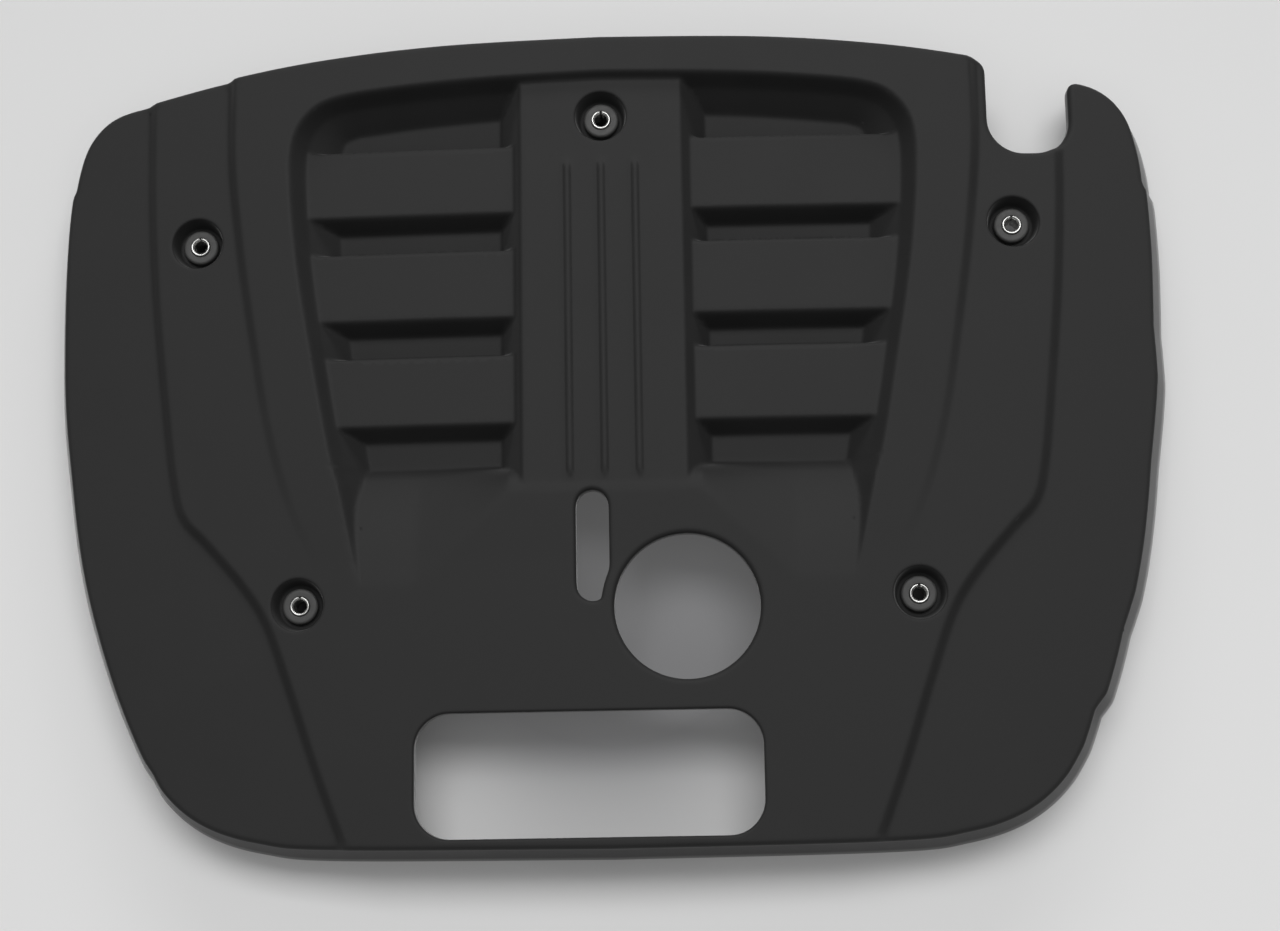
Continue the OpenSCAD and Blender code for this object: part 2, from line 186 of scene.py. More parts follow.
def distanceTo(points, path, closed=False):
    # signed distance to a path, positive on its left, by its nearest segment
    ends = np.roll(path, -1, 0) if closed else path[1:]
    starts = path if closed else path[:-1]
    best = np.full(len(points), np.inf)
    sign = np.ones(len(points))
    for a, b in zip(starts, ends):
        ab = b - a
        ap = points - a
        t = np.clip(ap @ ab / max(ab @ ab, 1e-9), 0, 1)
        gap = ap - t[:, None] * ab
        d = np.einsum("ij,ij->i", gap, gap)
        near = d < best
        best = np.where(near, d, best)
        sign = np.where(near, np.where(ab[0] * ap[:, 1] - ab[1] * ap[:, 0] >= 0, 1.0, -1.0), sign)
    return np.sqrt(best) * sign


def isInside(points, loop):
    # an odd number of crossings of a ray means inside
    hit = np.zeros(len(points), int)
    for (ax, ay), (bx, by) in zip(loop, np.roll(loop, -1, 0)):
        cross = (ay > points[:, 1]) != (by > points[:, 1])
        if cross.any():
            xAt = ax + (points[:, 1] - ay) * (bx - ax) / (by - ay)
            hit += cross & (points[:, 0] < xAt)
    return hit % 2 == 1


wingCurve = curveThrough(wingKeys)
frameCurve = curveThrough(frameKeys)
rimCurve = curveThrough(rimKeys)
floorCurve = curveThrough(floorKeys)
rimCoarse = curveThrough(rimKeys, 5)
floorCoarse = curveThrough(floorKeys, 5)


# The face as a height over the plan

def crownHeight(x, drop):
    # a cylinder along Y: the height falls away from the centre line as the circle does
    f = coverForm
    r = f["crownRadius"]
    return f["height"] - r + np.sqrt((r - drop)**2 - x**2)


def beyond(x, y, curve):
    # distance outwards from a curve that runs from the rear to the front, positive on its outer side
    order = np.argsort(curve[:, 1])
    cy, cx = curve[order, 1], curve[order, 0]
    slope = np.gradient(cx, cy)
    return (x - np.interp(y, cy, cx)) / np.sqrt(1 + np.interp(y, cy, slope)**2)


def wallProfile(t, start, x):
    # recess wall from its rim at t = 0 to its foot at t = 1, steep down to the slats' level, then easier
    f = coverForm
    knee = f["wallBreak"]
    middle, low = crownHeight(x, f["slatDrop"]), crownHeight(x, f["floorDrop"])
    steep = start + (middle - start) * t / knee
    easy = middle + (low - middle) * (t - knee) / (1 - knee)
    return np.maximum(np.maximum(steep, easy), low)


def plainHeight(x, y):
    # the frame, the deck and the wings, with the steps between them
    f = coverForm
    deck = crownHeight(x, f["deckDrop"])
    slope = f["deckDrop"] / (f["halfDepth"] - f["frameFront"])
    raised = np.maximum(crownHeight(x, 0) - (f["halfDepth"] - y) * slope, deck)
    share = np.clip(beyond(x, y, frameCurve) / f["stepWidth"] + 0.5, 0, 1)
    plain = raised + (deck - raised) * share
    share = np.clip(beyond(x, y, wingCurve) / f["stepWidth"] + 0.5, 0, 1)
    return plain + (crownHeight(x, f["wingDrop"]) - plain) * share


def sharpHeight(px, y):
    # height of the face before its edges are rounded: of the plain face and the recess the lower, and inside
    # the recess of its wall, its spine and its slats the highest
    f = coverForm
    x = np.abs(px)
    plain = plainHeight(x, y)

    # front end of the recess: its floor runs out to the field in a curve that eases off as it rises
    front = f["floorFront"]
    ahead = np.maximum(front - y, 0)
    fade, reach = [np.interp(x, f["scoopFrom"], f[key]) for key in ("scoopFade", "scoopReach")]
    depth = np.maximum(np.exp(-ahead / fade) - np.exp(-reach / fade) * ahead / reach, 0)
    ramp = plain - (plain - crownHeight(x, f["floorDrop"])) * depth
    spine = crownHeight(x, f["deckDrop"])
    spine = spine - np.maximum(x - f["spineHalf"], 0) * (f["floorDrop"] - f["deckDrop"]) / f["spineDraft"]
    toRim = np.where(y > f["rimFront"], np.interp(y, rimCurve[::-1, 1], rimCurve[::-1, 0]),
                     rimCurve[-1, 0] + (y - f["rimFront"]) * f["scoopTurn"]) - x
    wall = wallProfile(toRim / np.interp(y, [front - f["scoopReach"][1], front], f["wallRun"]), plain, x)
    z = np.where(y < front, np.minimum(plain, np.maximum.reduce([ramp, wall, spine])), plain)

    # recess, with its spine and slats
    inside = (x < f["recessHalf"]) & (y >= front) & (y < f["recessRear"])
    if inside.any():
        xi, yi, base = x[inside], y[inside], plain[inside]
        points = np.stack([xi, yi], 1)
        toRim = -distanceTo(points, rimCoarse)
        toFloor = distanceTo(points, floorCoarse)
        t = np.where(toFloor <= 0, 1.0, toRim / np.maximum(toRim + toFloor, 0.5))
        pit = np.maximum(wallProfile(np.maximum(t, -3), base, xi), spine[inside])
        level = crownHeight(xi, f["slatDrop"])
        lift = np.where(px[inside] < 0, *f["slatLift"])
        rise = f["floorDrop"] - f["slatDrop"]
        for i in range(f["slats"]):
            top = f["slatTop"] - i * f["slatPitch"]
            upper = level - (yi - top - lift + f["slatSteep"]) * rise / f["slatSteep"]
            lower = level - (top - f["slatWidth"] - yi) * rise / f["slatDraft"]
            pit = np.maximum(pit, np.minimum.reduce([level, upper, lower]))
        z[inside] = np.where(t > 0, np.minimum(base, pit), base)
    return z


def beadHeight(px, y):
    # three beads along the spine: a parabola across each, on a wide soft foot, with rounded ends
    f = coverForm
    low, high = f["beadEnds"]
    nearest = np.abs(px - f["beadPitch"] * np.clip(np.round(px / f["beadPitch"]), -1, 1))
    across = np.sqrt(nearest**2 + np.maximum(low - y, 0)**2 + np.maximum(y - high, 0)**2)
    core = f["beadHeight"] * np.maximum(0, 1 - (across / f["beadHalf"])**2)
    return core + f["beadFoot"] * (1 - smoothStep(across / f["beadFootHalf"]))


def discOffsets(radius, rings):
    # a point at the centre and rings of 6, 12, 18 points round it, each turned a little against the last
    spots = [(0.0, 0.0)]
    for k in range(1, rings + 1):
        a = np.linspace(0, 2 * np.pi, 6 * k, endpoint=False) + 0.3 * k
        spots += list(zip(radius * k / rings * np.cos(a), radius * k / rings * np.sin(a)))
    return spots


def topHeight(p):
    # mean height over a small disc, which rounds every edge as a mould does
    spots = discOffsets(coverForm["softening"], 2)
    total = sum(sharpHeight(p[:, 0] + dx, p[:, 1] + dy) for dx, dy in spots)
    return total / len(spots) + beadHeight(p[:, 0], p[:, 1])


def underHeight(p):
    # lowest place of a ball of the wall's thickness rolled under the face
    w = coverForm["wall"]
    spots = discOffsets(w * 0.97, 3)
    return np.minimum.reduce([sharpHeight(p[:, 0] + dx, p[:, 1] + dy) - math.sqrt(w * w - dx * dx - dy * dy)
                              for dx, dy in spots])


# Loops: the openings, the pockets and the outline with its notch

# lip: radius of the rolled edge; collar: thickness of the wall below it; depth: how far that reaches down
openingSizes = {
    "slot": {"at": (-7, -59.5), "size": (17, 58), "radius": 8.5, "lip": 2.2, "collar": 1.8, "depth": 9.0},
    "filler": {"at": (41, -91.5), "size": (74.6, 74.6), "radius": 37.3, "lip": 2.6, "collar": 2.5,
               "depth": 9.0},
    "window": {"at": (-10.5, -175.5), "size": (177, 63), "radius": 18, "lip": 1.5, "collar": 1.5,
               "depth": 9.0},
}
slotBar = {"width": 6.8, "smoothing": 40}     # bar of the face between the slot and the filler hole
notchSize = {"x": (205, 249), "y": 145.5, "radius": 19, "mouth": 7.0, "depth": 9.5}
pocketSize = {"mouth": 13.5, "floor": 11.0, "depth": 11.0, "lip": 1.2, "hole": 7.4, "wall": 2.5}
pocketAt = {"rear": (0, 170), "left": (-216, 107.5), "right": (216, 107.5),
            "front_left": (-159.5, -87), "front_right": (159.5, -87)}


def pocketLevel(at):
    # height of the face at a pocket, which its depth is measured from
    return float(crownHeight(at[0], coverForm["deckDrop"]))


def roundedLoop(name, grow, spacing):
    # clockwise rounded rectangle, whose corners keep their centres as it grows
    o = openingSizes[name]
    hx, hy = o["size"][0] / 2 - o["radius"], o["size"][1] / 2 - o["radius"]
    r = o["radius"] + grow
    a = np.radians(np.linspace(90, 0, 25))
    corners = [(hx, hy), (hx, -hy), (-hx, -hy), (-hx, hy)]
    turns = [a - k * np.pi / 2 for k in range(4)]
    loop = np.vstack([np.stack([cx + r * np.cos(turn), cy + r * np.sin(turn)], 1)
                      for turn, (cx, cy) in zip(turns, corners)]) + np.array(o["at"])
    if name == "slot":     # its lower right side follows the filler hole
        centre = np.array(openingSizes["filler"]["at"])
        loop = closedResample(loop, 0.5)
        away = loop - centre
        far = np.linalg.norm(away, axis=1)
        limit = openingSizes["filler"]["radius"] + slotBar["width"] - grow
        loop = np.where((far < limit)[:, None], centre + away * (limit / far)[:, None], loop)
        for _ in range(slotBar["smoothing"]):
            loop = (np.roll(loop, 1, 0) + loop * 2 + np.roll(loop, -1, 0)) / 4
    return closedResample(loop, spacing)


def circleLoop(at, radius, spacing):
    # clockwise circle
    n = max(24, int(round(2 * np.pi * radius / spacing)))
    a = -np.linspace(0, 2 * np.pi, n, endpoint=False)
    return np.stack([at[0] + radius * np.cos(a), at[1] + radius * np.sin(a)], 1)


def bend(a, corner, b, steps=8):
    # quadratic curve that turns a corner
    t = np.linspace(0, 1, steps)[:, None]
    return (1 - t)**2 * a + 2 * t * (1 - t) * corner + t**2 * b


sideFrom, rearFrom = 150, 140     # the outline's sides lie beyond this x, and its rear edge beyond this y


def jogged(half, jogs, sign):
    # one side of the outline with its small jogs, each point moved outwards along its normal
    path = resample(half, 1.5)
    y, out = np.array(sorted(jogs)).T
    shift = np.interp(path[:, 1], y, out) * (path[:, 0] > sideFrom)
    path = path + leftNormals(path) * shift[:, None]
    return path * np.array([sign, 1])


def outlineLoop():
    # clockwise outline of the face with the notch, and which of its points lie in the notch
    half = curveThrough(faceKeys)
    right, left = jogged(half, rightJogs, 1), jogged(half, leftJogs, -1)
    n = notchSize
    low, high = n["x"]
    m, r, y = n["mouth"], n["radius"], n["y"]
    rear = right[right[:, 1] > rearFrom]
    edgeAt = [np.array([x, np.interp(x, rear[:, 0], rear[:, 1])]) for x in (low - m, low, high, high + m)]
    before = right[:int(np.argmax(right[:, 0] >= low - m))]
    after = right[int(np.argmax(right[:, 0] > high + m)):]
    a = np.radians(np.linspace(180, 270, 14))
    cornerA = np.stack([low + r + r * np.cos(a), y + r + r * np.sin(a)], 1)
    cornerB = np.stack([high - r - r * np.cos(a[::-1]), y + r + r * np.sin(a[::-1])], 1)
    down = np.array([0, -m])
    close = meshSize["closeLine"]
    pieces = [
        resample(np.vstack([before, edgeAt[0]]), meshSize["line"]),
        bend(edgeAt[0], edgeAt[1], edgeAt[1] + down),
        resample(np.vstack([edgeAt[1] + down, cornerA, cornerB, edgeAt[2] + down]), meshSize["notchLine"]),
        bend(edgeAt[2] + down, edgeAt[2], edgeAt[3]),
        resample(np.vstack([edgeAt[3], after]), close),
        resample(left[::-1], close),
    ]
    mark = [np.full(len(piece) - 1, i in (1, 2, 3)) for i, piece in enumerate(pieces)]
    return np.vstack([piece[:-1] for piece in pieces]), np.concatenate(mark)


outline, inNotch = outlineLoop()
outlineNormal = outwardNormals(outline)
print("outline", len(outline), "points")


# The plan: feature lines, loops and filler points, triangulated together

# where the lines run, from beside the spine to beyond the rim: over the slats and over the floor's run-out
slatLines, runOutLines = (44, 162), (42, 146)
# rim of the wall in front of the floor, from its start to its far end, and how far inside it the foot lies
rimAhead = np.array([[141.2, -16.5], [126.6, -79]])
footInset = np.array([[15.8, 0], [4.0, 0]])


def bothSides(path):
    # a path and its mirror image
    return [path, mirrored(path)]


def straight(x0, y0, x1, y1, spacing=meshSize["line"]):
    # points at equal steps along a straight line
    return resample(np.array([[x0, y0], [x1, y1]], float), spacing)


def featureLines():
    # lines beside every edge of the face, closest at the edge, so that the triangles follow it
    f = coverForm
    close = meshSize["closeLine"]
    lines = []

    # steps of the wings and of the frame
    w = f["stepWidth"] / 2
    beside = np.array([-w - 2.4, -w - 1.2, -w - 0.5, -w, -w + 0.6, -w + 1.2])
    for curve in (wingCurve, frameCurve):
        path = resample(curve, meshSize["line"])
        for d in [*beside, 0, *-beside]:
            lines += bothSides(path + leftNormals(path) * d)

    # the recess's wall, as shares of the way from its rim to its floor
    for share in [-0.3, -0.16, -0.1, -0.05, 0, 0.05, 0.1, 0.17, 0.23, 0.27, 0.3, 0.33, 0.38, 0.5, 0.7, 0.85,
                  0.92, 0.97, 1, 1.05, 1.12, 1.25]:
        ring = rimCurve + (floorCurve - rimCurve) * share
        lines += bothSides(resample(ring[ring[:, 1] > f["floorFront"] + 1], close))

    # the spine's edge, the line where its side meets the slats, and its foot
    side, foot = f["spineHalf"], f["spineHalf"] + f["spineDraft"]
    meet = side + f["spineDraft"] * (f["slatDrop"] - f["deckDrop"]) / (f["floorDrop"] - f["deckDrop"])
    for x in [side - 1.6, side - 0.8, side, side + 0.7, side + 1.4, meet - 1.2, meet - 0.5, meet, meet + 0.7,
              meet + 1.5, (meet + foot) / 2, foot - 1.5, foot - 0.7, foot, foot + 0.7, foot + 1.5]:
        lines += bothSides(straight(x, f["rimFront"] - 2, x, 190))

    # the slats' lower edges and feet, then their upper edges
    start, end = slatLines
    for i in range(f["slats"]):
        top = f["slatTop"] - i * f["slatPitch"]
        low = top - f["slatWidth"]
        foot = low - f["slatDraft"]
        for y in [low + 1.6, low + 0.7, low, low - 0.7, low - 1.5, low - 3,
                  foot + 1.5, foot + 0.7, foot, foot - 0.7, foot - 1.5]:
            lines += bothSides(straight(start, y, end, y))
        for side, lift in zip((-1, 1), f["slatLift"]):
            for y in top + lift + np.array([1.4, 0.7, 0, -0.5, -1, -1.7, -2.6]):
                lines.append(straight(start * side, y, end * side, y))

    # the front ends of the rim and the floor, the beads, and the wall in front of the floor
    start, end = runOutLines
    for y in [-35, -33, -31, -29, -27.5, -26, -25, -24, -23, -21.5, -20, -18.5, -17, -15.9, -15, -14.1, -13]:
        lines += bothSides(straight(start, y, end, y, close))
    for k in (-1, 0, 1):
        for d in (-5.2, -3.6, -2.6, -2.1, -1.6, -0.9, 0, 0.9, 1.6, 2.1, 2.6, 3.6, 5.2):
            x = k * f["beadPitch"] + d
            lines.append(straight(x, f["beadEnds"][0] - 5, x, f["beadEnds"][1] + 5))
    for share in (-0.08, 0, 0.08, 0.2, 0.3, 0.42, 0.6, 0.8, 1, 1.1):
        lines += bothSides(resample(rimAhead - footInset * share, close))
    return lines


def holeLoops(beyondLip=0.0, spacing=meshSize["hole"]):
    # loops round the openings and the pockets, at a distance outside their lips, closer on the pockets
    mouth = pocketSize["mouth"] + pocketSize["lip"]
    loops = [roundedLoop(name, o["lip"] + beyondLip, spacing) for name, o in openingSizes.items()]
    return loops + [circleLoop(at, mouth + beyondLip, spacing * 0.8) for at in pocketAt.values()]


def cellOf(points):
    # number of the small square that each point lies in: its column times 4096, and its row
    cell = np.round(points / meshSize["cell"]).astype(int)
    return cell[:, 0] * 4096 + cell[:, 1]


def planMesh(outer, holes, lines, fillers, height, clear):
    # a height over the plan: points along the loops and lines and between them, triangulated with the loops
    # and lines as edges, and kept inside the outline and outside the holes
    loops = [outer] + holes
    chunks, edges, count = [], [], 0
    for loop in loops:
        n = len(loop)
        chunks.append(loop)
        edges += [(count + i, count + (i + 1) % n) for i in range(n)]
        count += n
    fillers = fillers[~np.isin(cellOf(fillers), cellOf(np.vstack(lines)))]
    every = np.vstack(lines + [fillers])
    keep = isInside(every, outer) & (np.abs(distanceTo(every, outer, True)) > clear)
    for hole in holes:
        near = (np.abs(every - hole.mean(0)) < np.ptp(hole, axis=0) / 2 + clear + 2).all(1)
        spot = np.nonzero(near & keep)[0]
        bad = isInside(every[spot], hole) | (np.abs(distanceTo(every[spot], hole, True)) < clear)
        keep[spot[bad]] = False
    offset = 0
    for line in lines:
        ok = keep[offset:offset + len(line)]
        linked = np.nonzero(ok[:-1] & ok[1:])[0]
        edges += [(count + i, count + i + 1) for i in linked.tolist()]
        count += len(line)
        offset += len(line)
    points = np.vstack(chunks + [every])
    used = np.concatenate([np.ones(sum(len(loop) for loop in loops), bool), keep])
    index = np.cumsum(used) - 1
    edges = [(int(index[a]), int(index[b])) for a, b in edges]
    result = delaunay_2d_cdt([Vector(p) for p in points[used].tolist()], edges, [], 0, 1e-3, False)
    flat = np.array([tuple(v) for v in result[0]])
    faces = np.array(result[2])
    a, b, c = np.moveaxis(flat[faces], 1, 0)
    ab, ac = b - a, c - a
    area = np.abs(ab[:, 0] * ac[:, 1] - ab[:, 1] * ac[:, 0]) / 2
    middle = (a + b + c) / 3
    good = isInside(middle, outer)
    thin = np.nonzero(area < meshSize["sliver"])[0]     # between points in line along the outline
    good[thin] &= np.abs(distanceTo(middle[thin], outer, True)) > meshSize["sliverNear"]
    for hole in holes:
        near = (np.abs(middle - hole.mean(0)) < np.ptp(hole, axis=0) / 2 + 1).all(1)
        spot = np.nonzero(near & good)[0]
        good[spot[isInside(middle[spot], hole)]] = False
    return np.column_stack([flat, height(flat)]), faces[good]


def fillerGrid(step, lowX, highX, lowY, highY):
    # points of a triangular grid: rows closer than the step, with every second row moved by half a step
    gx, gy = np.meshgrid(np.arange(lowX, highX, step), np.arange(lowY, highY, step * 0.87))
    gx[1::2] += step / 2
    return np.stack([gx.ravel(), gy.ravel()], 1)


def stripFaces(rings, count):
    # four-sided faces between closed rings of points, each from two neighbours to the two of the next ring
    i = np.arange(rings - 1)[:, None] * count
    j = np.arange(count)[None, :]
    after = (j + 1) % count
    return np.stack([i + j, i + after, i + count + after, i + count + j], -1).reshape(-1, 4)


def quarterRound(radius, steps, sweep=90.0):
    # run and drop of a rounded edge, from the flat face down: the radius times the angle's sine, and times
    # 1 less its cosine
    a = np.radians(np.linspace(0, sweep, steps + 1))
    return radius * np.sin(a), radius * (1 - np.cos(a))


def newShell():
    # lists that gather the points and faces of one mesh
    return {"points": [], "faces": [], "total": 0}


def addFaces(shell, points, *blocks):
    # points with their faces, whose numbers start at 0 in each call
    shell["points"].append(np.asarray(points))
    shell["faces"] += [np.asarray(faces) + shell["total"] for faces in blocks]
    shell["total"] += len(points)


def addStrip(shell, rows):
    # a surface through closed rings of points
    block = np.stack(rows)
    addFaces(shell, block.reshape(-1, 3), stripFaces(*block.shape[:2]))


def addBar(shell, rows):
    # rings of points as a solid bar with its two ends closed
    block = np.stack(rows)
    count, n = block.shape[:2]
    ends = np.array([np.arange(n)[::-1], np.arange(n) + (count - 1) * n])
    addFaces(shell, block.reshape(-1, 3), stripFaces(count, n), ends)


def buildShell(shell, name, node):
    # one closed mesh in metres, with joined seams and outward faces, as a piece that replaces the node
    mesh = bpy.data.meshes.new(name)
    faces = [face.tolist() for block in shell["faces"] for face in block]
    mesh.from_pydata((np.vstack(shell["points"]) * mm).tolist(), [], faces)
    work = bmesh.new()
    work.from_mesh(mesh)
    bmesh.ops.remove_doubles(work, verts=work.verts, dist=meshSize["seam"] * mm)
    bmesh.ops.recalc_face_normals(work, faces=work.faces)
    loose = sum(1 for edge in work.edges if len(edge.link_faces) != 2)
    work.to_mesh(mesh)
    work.free()
    mesh.shade_smooth()
    print(name, len(mesh.polygons), "faces,", loose, "edges not shared by two")
    piece = bpy.data.objects.new(name, mesh)
    bpy.context.scene.collection.objects.link(piece)
    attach(piece, "root")
    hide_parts(node)
    return piece


def flared(k, inset=0.0):
    # outline at share k of the skirt's flare, wider at the two sides
    f = coverForm
    flare = f["flare"] * np.where(inNotch, 0, k)
    wide = (f["halfWidth"] + f["sideFlare"] * k) / (f["halfWidth"] + f["flare"] * k)
    wide = np.where(inNotch, 1, wide)
    loop = outline + outlineNormal * (flare - inset)[:, None]
    return np.column_stack([loop[:, 0] * wide, loop[:, 1]])


# Ribs under the face: half their thickness, how far they reach up into the wall, the steps along them,
# and for each its two ends and the height of its lower edge
ribSizes = {
    "half": 1.0, "sunk": 1.2, "step": 4.0,
    "runs": [((-252, -136.4), (252, -136.4), 22.5), ((262, -108), (262, 137.5), 22.5),
             ((-262, -108), (-262, 137.5), 22.5), ((186, -166.5), (186, -136.4), 30.5),
             ((-186, -166.5), (-186, -136.4), 30.5)],
}


def addRibs(shell):
    # a thin plate that follows the underside, with a rounded lower edge
    w = ribSizes["half"]
    for a, b, low in ribSizes["runs"]:
        path = straight(*a, *b, ribSizes["step"])
        across = leftNormals(path)
        top = underHeight(path) + ribSizes["sunk"]
        section = [(-w, None), (-w, w), (-0.7 * w, 0.3 * w), (0, 0), (0.7 * w, 0.3 * w), (w, w), (w, None)]
        rows = [np.stack([np.append(p + n * out, t if rise is None else low + rise) for out, rise in section])
                for p, n, t in zip(path, across, top)]
        addBar(shell, rows)


def skirtRow(share, inset, shoulder, bottom):
    # ring of the skirt: from the shoulder down to the knee for shares up to 1, then to the lower edge at 2
    f = coverForm
    knee = float(crownHeight(f["halfWidth"], f["wingDrop"])) - f["edgeRadius"] - f["kneeBelow"]
    kneeHere = np.where(inNotch, (shoulder + bottom) / 2, np.minimum(knee, shoulder - 1))
    k = max(0.0, share - 1)
    z = shoulder + (kneeHere - shoulder) * min(share, 1.0) + (bottom - kneeHere) * k
    return np.column_stack([flared(k, inset), z])


def addSkirt(shell, topLoop, underLoop):
    # rounded shoulder, flared skirt, flat lower rim and the skirt's inner side, up to the underside
    edge, wall, soft = coverForm["edgeRadius"], coverForm["wall"], meshSize["softEdge"]
    top = topHeight(topLoop)
    bottom = np.where(inNotch, top - notchSize["depth"], 0.0)
    run, drop = quarterRound(edge, 6, 84)
    rows = [np.column_stack([topLoop + outlineNormal * r, top - d]) for r, d in zip(run, drop)]
    shoulder = top - drop[-1]
    outside = [(share, 0.0) for share in (0.2, 0.75, 1.0, 1.06, 1.15, 1.4, 1.7, 1.97)]
    inside = [(share, wall) for share in (1.97, 1.5, 1.15, 1.0, 0.6)]
    for share, inset in outside + [(2.0, soft), (2.0, wall - soft)] + inside:
        rows.append(skirtRow(share, inset, shoulder, bottom))
    rows.append(np.column_stack([underLoop, underHeight(underLoop)]))
    addStrip(shell, rows)


def addOpenings(shell, topHoles, underHoles):
    # rolled lip, collar and the collar's outer side, up to the underside
    soft = meshSize["softEdge"]
    for o, loop, foot in zip(openingSizes.values(), topHoles, underHoles):
        z = topHeight(loop)
        normal = outwardNormals(loop)
        inner = loop - normal * o["lip"]
        run, drop = quarterRound(o["lip"], 6)
        rows = [np.column_stack([loop - normal * r, z - d]) for r, d in zip(run, drop)]
        low, thick = z - o["depth"], o["collar"]
        for out, level in ((0, low + soft), (soft, low), (thick - soft, low), (thick, low + soft)):
            rows.append(np.column_stack([inner + normal * out, level]))
        rows.append(np.column_stack([foot, underHeight(foot)]))
        addStrip(shell, rows)


def spokesOf(at, loop):
    # vectors of length 1 from a pocket's centre towards the points of its mouth
    return (loop - np.array(at)) / (pocketSize["mouth"] + pocketSize["lip"])


def addPockets(shell, topHoles, underHoles):
    # rounded mouth, tapered wall, floor with the grommet's hole, and the cup's outside, up to the underside
    p = pocketSize
    floor, hole, depth, thick = p["floor"], p["hole"], p["depth"], p["wall"]
    taper = [(floor + 0.8, -depth + 0.9), (floor + 0.2, -depth + 0.2), (floor - 0.6, -depth),
             (hole + 0.4, -depth), (hole, -depth - 0.3), (hole, -depth - thick + 0.3),
             (hole + 0.4, -depth - thick), (floor + thick - 0.8, -depth - thick),
             (floor + thick, -depth - thick + 0.8)]
    for at, loop, last in zip(pocketAt.values(), topHoles, underHoles):
        spoke = spokesOf(at, loop)
        z = topHeight(loop)
        run, drop = quarterRound(p["lip"], 4)
        rows = [np.column_stack([loop - spoke * r, z - d]) for r, d in zip(run, drop)]
        for radius, level in taper:
            ring = np.array(at) + spoke * radius
            rows.append(np.column_stack([ring, np.full(len(loop), pocketLevel(at) + level)]))
        rows.append(np.column_stack([last, underHeight(last)]))
        addStrip(shell, rows)


def buildCover():
    # the face and the underside as heights over the plan, joined by the skirt, the openings and the pockets
    p = pocketSize
    edge, wall = coverForm["edgeRadius"], coverForm["wall"]
    first, second = meshSize["ringsBeside"]
    topLoop = outline - outlineNormal * edge
    underLoop = outline - outlineNormal * (wall + 0.2)     # a little inside the skirt's inner side
    topHoles = holeLoops()
    rings = holeLoops(first) + holeLoops(second, meshSize["outerRing"])
    rings += [outline - outlineNormal * (edge + d) for d in meshSize["edgeRings"]]
    lines = featureLines()
    fillers = np.vstack([fillerGrid(meshSize["field"], *meshSize["fieldBox"]),
                         fillerGrid(meshSize["middle"], *meshSize["middleBox"])])
    shell = newShell()
    faceLines = lines + [np.vstack([ring, ring[:1]]) for ring in rings]
    addFaces(shell, *planMesh(topLoop, topHoles, faceLines, fillers, topHeight, meshSize["clearTop"]))
    print("face", shell["total"], "points")

    count = len(openingSizes)
    underHoles = [loop - outwardNormals(loop) * (o["lip"] - o["collar"])
                  for o, loop in zip(openingSizes.values(), topHoles)]
    underHoles += [np.array(at) + spokesOf(at, loop) * (p["mouth"] + p["wall"])
                   for at, loop in zip(pocketAt.values(), topHoles[count:])]
    coarse, clear = [line[::2] for line in lines], meshSize["clearUnder"]
    addFaces(shell, *planMesh(underLoop, underHoles, coarse, fillers[::2], underHeight, clear))
    print("with its underside", shell["total"], "points")

    addSkirt(shell, topLoop, underLoop)
    addOpenings(shell, topHoles[:count], underHoles[:count])
    addPockets(shell, topHoles[count:], underHoles[count:])
    addRibs(shell)
    return buildShell(shell, "cover_shell", "cover")


cover = buildCover()


# Grommets and sleeves

# radii and heights in millimetres: of the grommet's bore, neck and head and of its roundings, then of the
# sleeve, which stands proud of the grommet at both ends and has a flat land and a lead-in at its upper end
grommetSize = {"bore": 5.1, "neck": 7.3, "head": 9.3, "headHeight": 4.0, "round": 1.5, "rim": 0.5,
               "lip": 0.6}
sleeveSize = {"radius": 5.0, "bore": 3.25, "proud": 1.0, "edge": 0.3, "split": 0.8, "land": 0.8,
              "leadIn": 1.3}


def turned(at, low, section, steps=64):
    # a closed section of (radius, height) turned about the pocket's axis
    r, z = np.array(section).T
    a = np.linspace(0, 2 * np.pi, steps, endpoint=False)[:, None]
    ring = np.stack([at[0] + r * np.cos(a), at[1] + r * np.sin(a), low + z + 0 * a], -1)
    return np.concatenate([ring, ring[:1]])


def cornerArc(cx, cz, radius, start, end, steps=6):
    # points of an arc about (cx, cz) between two angles in degrees
    a = np.radians(np.linspace(start, end, steps))
    return list(zip(cx + radius * np.cos(a), cz + radius * np.sin(a)))


def buildGrommet(name, at, low):
    # foot, neck and head in one turned section, with rounded rubber edges
    g = grommetSize
    bore, head, h, neck = g["bore"], g["head"], g["headHeight"], pocketSize["wall"]
    r, rim, lip = g["round"], g["rim"], g["lip"]
    total = neck + 2 * h
    section = [(bore, rim)] + cornerArc(bore + rim, rim, rim, 180, 270, 4)
    section += cornerArc(head - r, r, r, 270, 360)
    section += cornerArc(head - lip, h - lip, lip, 0, 90, 4)
    section += [(g["neck"], h), (g["neck"], h + neck)]
    section += cornerArc(head - lip, h + neck + lip, lip, 270, 360, 4)
    section += cornerArc(head - r, total - r, r, 0, 90)
    section += cornerArc(bore + rim, total - rim, rim, 90, 180, 4)
    shell = newShell()
    addStrip(shell, turned(at, low, section))
    return buildShell(shell, "rubber_" + name, "grommet_" + name)


